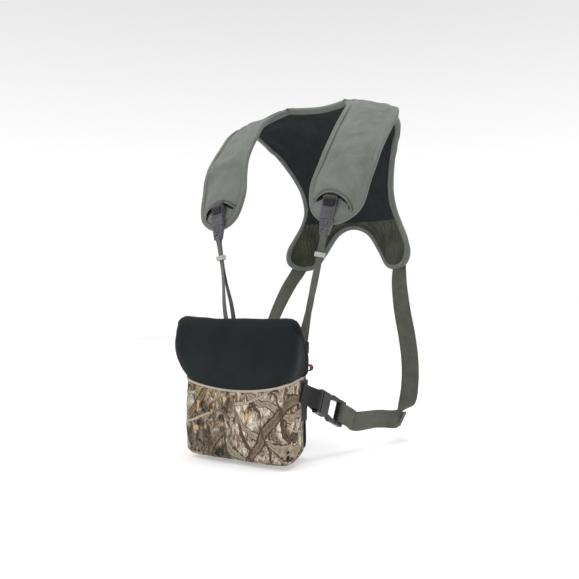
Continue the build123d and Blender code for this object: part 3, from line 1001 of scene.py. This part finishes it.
def side_strap(name, side):
    """The side strap: from the wing, round under the arm, through the buckle's ladder and back as a tail."""
    buckle = LocalFrame(side, BUCKLE_START, BUCKLE_AXIS, BUCKLE_ACROSS)
    points = [flip(side, p) * MM for p, _ in STRAP_ROUTE]
    across = [flip(side, w).normalized() for _, w in STRAP_ROUTE]
    for out, along in ((4.4, 84), (4.3, 72), (4.2, 62)):
        points.append(buckle.at(0, out, along))
        across.append(buckle.across)
    main = smooth_line(points, 210)
    wide = blend_lists(across, 210)
    marks = frames(main, wide)
    wrap = [
        (3.4, 58.4), (0.6, 56.6), (-2.6, 55.4), (-3.4, 53), (-2.6, 50.6), (0.6, 49.5), (4.2, 49.2),
        (5.9, 52), (6.1, 60),
    ]
    turn = smooth_line([buckle.at(0, out, along) for out, along in wrap], 34)
    tail_rows = 62
    tail = []
    for k in range(tail_rows):
        i = len(main) - 1 - k
        peel = ease((k - 48) / 14) * 7 * MM
        tail.append(main[i] + marks[i][2] * side * (1.9 * MM + peel))
    line = main + turn + tail
    sides = wide + [buckle.across] * len(turn) + [wide[len(main) - 1 - k] for k in range(tail_rows)]
    strap = band(f"side_strap_webbing_{name}", line, sides, STRAP_WIDTH, STRAP_THICKNESS, WEBBING,
                 None)
    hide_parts(f"side_strap_{name}", f"side_strap_end_{name}")
    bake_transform(strap)
    last = tail[-1]
    ahead = (tail[-1] - tail[-3]).normalized()
    hem_line = [last - ahead * 7 * MM, last - ahead * 3 * MM, last + ahead * 0.8 * MM]
    hem = band(f"strap_hem_{name}", hem_line, [sides[-1]] * 3, STRAP_WIDTH, 3.2 * MM, WEBBING,
               "harness")
    ruffle(hem, 0.2 * MM, 0.006)


def front_loop(name, side):
    """The narrow webbing loop from the clip's eye, through its keeper and round the ring on the pouch."""
    clip = LocalFrame(side, CLIP_MOUTH, CLIP_UP, CLIP_ACROSS)
    top = clip.at(0, 0, -17)
    bottom = flip(side, RING_BAR) * MM
    down = (bottom - top).normalized()
    reach = (bottom - top).length / MM
    half = [
        (0, -2.7), (2.0, -1.8), (2.6, 0.5), (2.0, 4), (0.95, 9), (0.8, 20), (0.8, 44), (2.8, 68),
        (5.4, 96), (6.4, reach - 22), (5.9, reach - 4), (4.6, reach + 3.2), (0, reach + 6.4),
    ]
    path = half + [(-u, v) for u, v in half[-2::-1]]
    turned = flip(side, (0.86, 0.5, 0.0)).normalized()
    along_bar = flip(side, (1, 0, 0))
    points, sides = [], []
    for u, v in path:
        across = (-clip.across).lerp(turned, ease((v - 30) / 70))
        across = across.lerp(along_bar, ease((v - reach + 34) / 24)).normalized()
        across = (across - down * across.dot(down)).normalized()
        through = across.cross(down).normalized() * side
        points.append(top + down * v * MM + through * u * MM)
        sides.append(across)
    line = smooth_line(points, 190)
    wide = blend_lists(sides, 190)
    loop = band(f"front_loop_webbing_{name}", line, wide, 8 * MM, 1.2 * MM, NARROW, None)
    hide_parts(f"front_loop_{name}")
    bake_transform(loop)


def shoulder_webbing(name, side):
    """The webbing that comes from the pad's pocket and holds the shoulder buckle's socket."""
    clip = LocalFrame(side, CLIP_MOUTH, CLIP_UP, CLIP_ACROSS)
    path = [
        (-8.4, 41), (-6.0, 37), (-1.8, 32), (2.8, 27.5), (2.6, 24.8), (0, 24.4), (-2.2, 22.6), (-2.2, 19.4),
        (0, 17.6), (3.0, 17.2), (4.4, 18.2), (4.4, 21), (4.6, 26), (0.2, 32), (-4.4, 37), (-7.0, 41),
    ]
    line = smooth_line([clip.at(0, o, a) for o, a in path], 90)
    strap = black_band(f"pad_webbing_{name}", line, [clip.across] * 90, 16 * MM, 1.2 * MM)
    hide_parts(f"shoulder_webbing_{name}")


def ring_tab(name, side):
    """The webbing tab, sewn to the pouch's back panel, that holds a ring."""
    path = [
        (-121.2, -349), (-121.0, -338), (-118.5, -333.8), (-114.5, -333.2), (-111.3, -331.0), (-111.3, -328),
        (-114.4, -326.0), (-117.9, -328.2), (-119.4, -333), (-119.9, -340), (-120.0, -349),
    ]
    line = smooth_line([mm(54 * side, y, z) for y, z in path], 60)
    tab = black_band(f"ring_tab_webbing_{name}", line, [Vector((1, 0, 0))] * 60, 11 * MM, 1.1 * MM)
    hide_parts(f"ring_tab_{name}")
    for z in (-338, -346):
        seam = [mm(54 * side + x, -119.3, z) for x in (-4.5, 0, 4.5)]
        stitches(f"ring_tab_stitching_{name}_{-z}", seam, [Vector((0, 1, 0))] * 3,
                 pitch=1.6 * MM, length=1.2 * MM)


def buckle_anchor(name, side, pouch_tree):
    """The webbing that holds the side buckle's socket, and the tape it is sewn to on the pouch."""
    buckle = LocalFrame(side, BUCKLE_START, BUCKLE_AXIS, BUCKLE_ACROSS)
    path = [
        (-1.4, -24), (-0.6, -12), (2.6, -3), (5.0, 2.6), (5.1, 7), (3.0, 9.3), (0, 9.6),
        (-3.0, 9.3), (-5.1, 7), (-5.0, 2.6), (-3.4, -2), (-1.8, -11), (-2.6, -24),
    ]
    line = smooth_line([buckle.at(0, o, a) for o, a in path], 90)
    anchor = black_band(f"buckle_anchor_webbing_{name}", line, [buckle.across] * 90, 24 * MM, 1.3 * MM)
    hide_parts(f"buckle_anchor_{name}")
    out = Vector((side, 0, 0))
    points = [on_surface(pouch_tree, mm(side * 66, -143, z), out, 0.9 * MM) for z in range(-410, -358, 5)]
    line = smooth_line(points, 50)
    tape = black_band(f"pouch_side_tape_webbing_{name}", line, [Vector((0, 1, 0))] * 50, 17 * MM, 1.5 * MM)
    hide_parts(f"pouch_side_tape_{name}")
    for row, at in (("front", -6.5), ("rear", 6.5)):
        seam = [p + out * 0.85 * MM + Vector((0, at * MM, 0)) for p in line]
        stitches(f"side_tape_stitching_{name}_{row}", seam, [out] * len(seam))


def paint_hardware():
    """Give the moulded pieces their plastics."""
    plastics = {
        "buckle_socket": BUCKLE, "buckle_ladder": BUCKLE, "buckle_arms": BUCKLE, "strap_ring": BUCKLE,
        "shoulder_socket": CLIP, "shoulder_clip": CLIP, "loop_keeper": KEEPER,
    }
    for name, _ in SIDES:
        for node, material in plastics.items():
            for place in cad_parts[f"{node}_{name}"].material_slots:
                place.material = material


# ---------------------------------------------------------------- pouch and hood

# Sizes and levels of the pouch and hood, in millimetres
POUCH_HALF = 76.5
POUCH_REAR_HALF = 71
POUCH_FRONT = -193
POUCH_BACK = -127
POUCH_BOTTOM = -458
RIM_LEVEL = -353
RIM_FALL = 8
RIM_DIP = 10.5
HOOD_FRONT_TOP = -286
HOOD_BACK_TOP = -318
RING_POINTS = 132
# The fold where the hood's front panel wraps on to its side, as (y, z)
HOOD_FOLD = [(-193, -286), (-186, -300), (-168, -314), (-158, -330), (-153, -353)]


def perimeter(front_half, rear_half, front, back, front_power=7.0):
    """Points round a soft rectangle that narrows to the rear, evenly spaced, from the front centre."""
    middle, half_y = (front + back) / 2, (back - front) / 2
    dense = []
    for k in range(400):
        turn = 2 * math.pi * k / 400 - math.pi / 2
        c, s = math.cos(turn), math.sin(turn)
        power = 2 / (front_power if s < 0 else 5.0)
        y = math.copysign(abs(s) ** power, s) * half_y + middle
        half = front_half + (rear_half - front_half) * (y - front) / (back - front)
        dense.append((math.copysign(abs(c) ** power, c) * half, y, 0))
    return smooth_line(dense, RING_POINTS, closed=True)


def rim_height(x, y):
    """The pouch's rim: falling a little to the front corners, then dipping across the front."""
    forward = min(max((POUCH_BACK - y) / (POUCH_BACK - POUCH_FRONT), 0), 1)
    at_front = ease((POUCH_FRONT + 9 - y) / 8)
    return RIM_LEVEL - RIM_FALL * forward - RIM_DIP * at_front * max(0.0, 1 - (x / POUCH_HALF) ** 2)


def make_pouch():
    """The pouch's walls and bottom with its rim tape; gives its outer surface, to sew things on."""
    rows = []
    ring = perimeter(POUCH_HALF - 5, POUCH_REAR_HALF - 7, POUCH_FRONT + 5, POUCH_BACK - 3)
    centre = Vector((0, (POUCH_FRONT + POUCH_BACK) / 2, 0))
    for shrink in (0.05, 0.35, 0.65, 0.86):
        level = Vector((0, 0, POUCH_BOTTOM + 1.2 * shrink))
        rows.append([centre + (p - centre) * shrink + level for p in ring])
    steps = 26
    for k in range(steps + 1):
        t = k / steps
        belly = math.sin(math.pi * min(1, t * 1.05)) ** 0.8 if t < 0.95 else 0
        corner = 1 - ease(t / 0.12)
        ring = perimeter(
            POUCH_HALF - 4 * corner + 0.4 * belly, POUCH_REAR_HALF - 6 * corner,
            POUCH_FRONT + 4 * corner - 2.5 * belly, POUCH_BACK - 2 * corner,
        )
        row = []
        for p in ring:
            top = rim_height(p.x, p.y)
            rise = 4 * ease((p.y - POUCH_FRONT - 25) / 40)
            low = POUCH_BOTTOM + 1.5 + rise
            row.append(Vector((p.x, p.y, low + (top - low) * ease_in(t))))
        rows.append(row)
    rows = [[p * MM for p in row] for row in rows]
    mesh = grid_mesh("pouch_shell", rows, ring=True)
    pouch = new_piece("pouch_shell", mesh, CAMO, None)
    close_bottom(pouch, rows[0])
    ruffle(pouch, 2.2 * MM, 0.055, (1, 1, 1.2), seed=21.0, keep=away_from_rim)
    ruffle(pouch, 0.8 * MM, 0.017, (1.4, 1.4, 0.8), seed=22.0, keep=away_from_rim)
    tree = surface(pouch)
    pouch.data.materials.append(INSIDE)
    modify(pouch, "SOLIDIFY", material_offset=1, thickness=2.4 * MM, offset=-1)
    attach(pouch, "harness")
    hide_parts("pouch_body", "pouch_base")
    line = smooth_line([p + Vector((0, 0, -0.0006)) for p in rows[-1]], 300, closed=True)
    line.append(line[0])
    upright = [Vector((0, 0, 1))] * len(line)
    tape = band("rim_tape", line, upright, 2.8 * MM, 3.2 * MM, RIM, "harness")
    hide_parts("pouch_rim_binding")
    return tree


def ease_in(t):
    """Rows bunch up near the pouch's bottom edge, where it turns."""
    return t ** 1.25


def away_from_rim(co):
    """How far cloth may move: not at all along the rim and back, freely in the middle of the walls."""
    rim = (rim_height(co.x / MM, co.y / MM) - 3) * MM
    from_rim = ease((rim - co.z) / (14 * MM))
    from_back = ease((POUCH_BACK * MM - 2 * MM - co.y) / (12 * MM))
    from_bottom = 0.35 + 0.65 * ease((co.z - (POUCH_BOTTOM + 3) * MM) / (12 * MM))
    return from_rim * from_back * from_bottom


def close_bottom(piece, ring):
    """Close the small hole in the middle of the pouch's bottom."""
    made = bmesh.new()
    made.from_mesh(piece.data)
    made.verts.ensure_lookup_table()
    made.faces.new([made.verts[i] for i in range(len(ring))][::-1])
    bmesh.ops.recalc_face_normals(made, faces=made.faces)
    made.to_mesh(piece.data)
    made.free()


def hood_top(x, y):
    """The hood's height: a ridge along the front, higher at its ends, then a slope down to the back."""
    t = ease((y - POUCH_FRONT - 6) / (POUCH_BACK - POUCH_FRONT - 6))
    ears = 3.5 * (abs(x) / 82) ** 4 * (1 - t)
    return HOOD_FRONT_TOP + ears + (HOOD_BACK_TOP - HOOD_FRONT_TOP) * t


def fold_distance(y, z):
    """Signed distance behind the hood's side fold, in millimetres."""
    best = None
    for (y1, z1), (y2, z2) in zip(HOOD_FOLD, HOOD_FOLD[1:]):
        along = Vector((y2 - y1, z2 - z1))
        t = min(max(Vector((y - y1, z - z1)).dot(along) / along.length_squared, 0), 1)
        gap = Vector((y, z)) - Vector((y1, z1)) - along * t
        side = along.x * gap.y - along.y * gap.x
        if best is None or gap.length < abs(best):
            best = math.copysign(gap.length, side)
    return best


def make_hood():
    """The hood: walls that swell out from the pouch's rim, a rolled edge and a sagging top."""
    wall_steps, top_steps = 30, 14
    back = POUCH_BACK - 0.6
    rows = []
    for k in range(wall_steps + 1):
        t = k / wall_steps
        swell = math.sin(math.pi * t ** 0.85)
        roll = 4.0 * ease((t - 0.88) / 0.12) ** 1.5
        ring = perimeter(
            POUCH_HALF + 10.5 * t + 11.5 * swell - roll, POUCH_REAR_HALF - 2.0 * t + 3.0 * swell - roll,
            POUCH_FRONT - 3.0 * t - 7.5 * swell + roll, back - roll * 0.6, 6.0,
        )
        row = []
        for p in ring:
            low = rim_height(p.x, p.y) + 0.4
            high = hood_top(p.x, p.y) - 2.4 * (1 - ease((t - 0.88) / 0.12))
            row.append(Vector((p.x, p.y, low + (high - low) * t)))
        rows.append(row)
    rim = rows[-1]
    middle = (POUCH_FRONT + back) / 2
    for k in range(1, top_steps + 1):
        scale = 1 - k / top_steps
        row = []
        for p in rim:
            q = Vector((p.x * scale, middle + (p.y - middle) * scale, 0))
            sag = 3.0 * (1 - scale ** 2) * ease(k / 4)
            q.z = hood_top(q.x, q.y) + 1.2 * ease(k / 2) * (1 - ease((k - 2) / 5)) - sag + 0.6
            row.append(q)
        rows.append(row)
    for row in rows:
        for p in row:
            if abs(p.x) > 60 and p.z < hood_top(p.x, p.y) - 1:
                gap = fold_distance(p.y, p.z)
                dip = -4.6 * ease((gap + 1.0) / 3) * (1 - 0.85 * ease((gap - 5) / 24))
                proud = 1.8 * math.exp(-((gap + 4) / 4) ** 2)
                outer = ease((abs(p.x) - 60) / 10)
                above = ease((p.z - RIM_LEVEL + 8) / 10)
                p.x += math.copysign(dip + proud, p.x) * outer * above
    rows = [[p * MM for p in row] for row in rows]
    mesh = grid_mesh("hood_shell", rows, ring=True)
    hood = new_piece("hood_shell", mesh, HOOD, None)
    modify(hood, "WELD", merge_threshold=0.00005)
    ruffle(hood, 1.8 * MM, 0.050, (1, 1, 0.8), seed=31.0, keep=away_from_hood_edge)
    ruffle(hood, 0.6 * MM, 0.018, (1, 1, 0.7), seed=32.0, keep=away_from_hood_edge)
    tree = surface(hood)
    hood.data.materials.append(INSIDE)
    modify(hood, "SOLIDIFY", material_offset=1, thickness=1.8 * MM, offset=-1)
    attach(hood, "hood")
    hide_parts("hood")
    return tree


def away_from_hood_edge(co):
    """The hood's cloth lies still along its lower edge and against the back panel."""
    low = (rim_height(co.x / MM, co.y / MM) + 1) * MM
    from_back = ease((POUCH_BACK * MM - 1.5 * MM - co.y) / (10 * MM))
    return ease((co.z - low) / (14 * MM)) * from_back


def pull_tab(name, side, hood_tree):
    """The small webbing tab at the hood's lower rear corner, with its red bar-tack."""
    out = Vector((side, 0, 0))
    root = on_surface(hood_tree, mm(side * 60, -137, -343), out, -0.4 * MM)
    path = [(0, 0), (2.8, 0.3), (5.0, -1.0), (5.2, -4.2), (3.0, -6.2), (0, -6.8)]
    line = smooth_line([root + out * u * MM + mm(0, 0.5 * u, v) for u, v in path], 40)
    tab = band(f"hood_tab_webbing_{name}", line, [Vector((0, 1, 0))] * 40, 9 * MM, 1.1 * MM, BLACK_WEBBING,
               "hood")
    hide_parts(f"hood_pull_tab_{name}")
    seam = [line[i] + Vector((0, 0, 0.7 * MM)) for i in range(3, 18)]
    across = [Vector((0, 1, 0))] * len(seam)
    stitch = band(f"hood_tab_bartack_{name}", seam, across, 7.4 * MM, 0.9 * MM, RED_THREAD,
                  "hood")
    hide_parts(f"pull_tab_stitch_{name}")


def make_pouch_back():
    """The pouch's back panel with its padded mesh, which lies on the chest."""
    panel = copy_node("pouch_back_panel", "pouch_back_shell", HOOD, voxel=2.6 * MM)
    modify(panel, "SMOOTH", iterations=2, factor=0.5)
    for vertex in panel.data.vertices:
        vertex.co.x *= 0.93
    ruffle(panel, 0.6 * MM, 0.03, seed=41.0)
    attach(panel, "harness")
    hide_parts("pouch_back_panel")
    pad = copy_node("chest_pad", "chest_pad_mesh", CHEST_MESH, voxel=3.0 * MM)
    inflate(pad, 2.5, 1.2 * MM, 10)
    modify(pad, "SMOOTH", iterations=2, factor=0.5)
    ruffle(pad, 0.5 * MM, 0.03, seed=42.0)
    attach(pad, "harness")
    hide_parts("chest_pad")


add_camera()
add_lights()
add_floor()
make_pads()
make_back()
pouch_surface = make_pouch()
hood_surface = make_hood()
make_pouch_back()
for side_name, side_sign in SIDES:
    side_strap(side_name, side_sign)
    front_loop(side_name, side_sign)
    shoulder_webbing(side_name, side_sign)
    ring_tab(side_name, side_sign)
    buckle_anchor(side_name, side_sign, pouch_surface)
    pull_tab(side_name, side_sign, hood_surface)
paint_hardware()
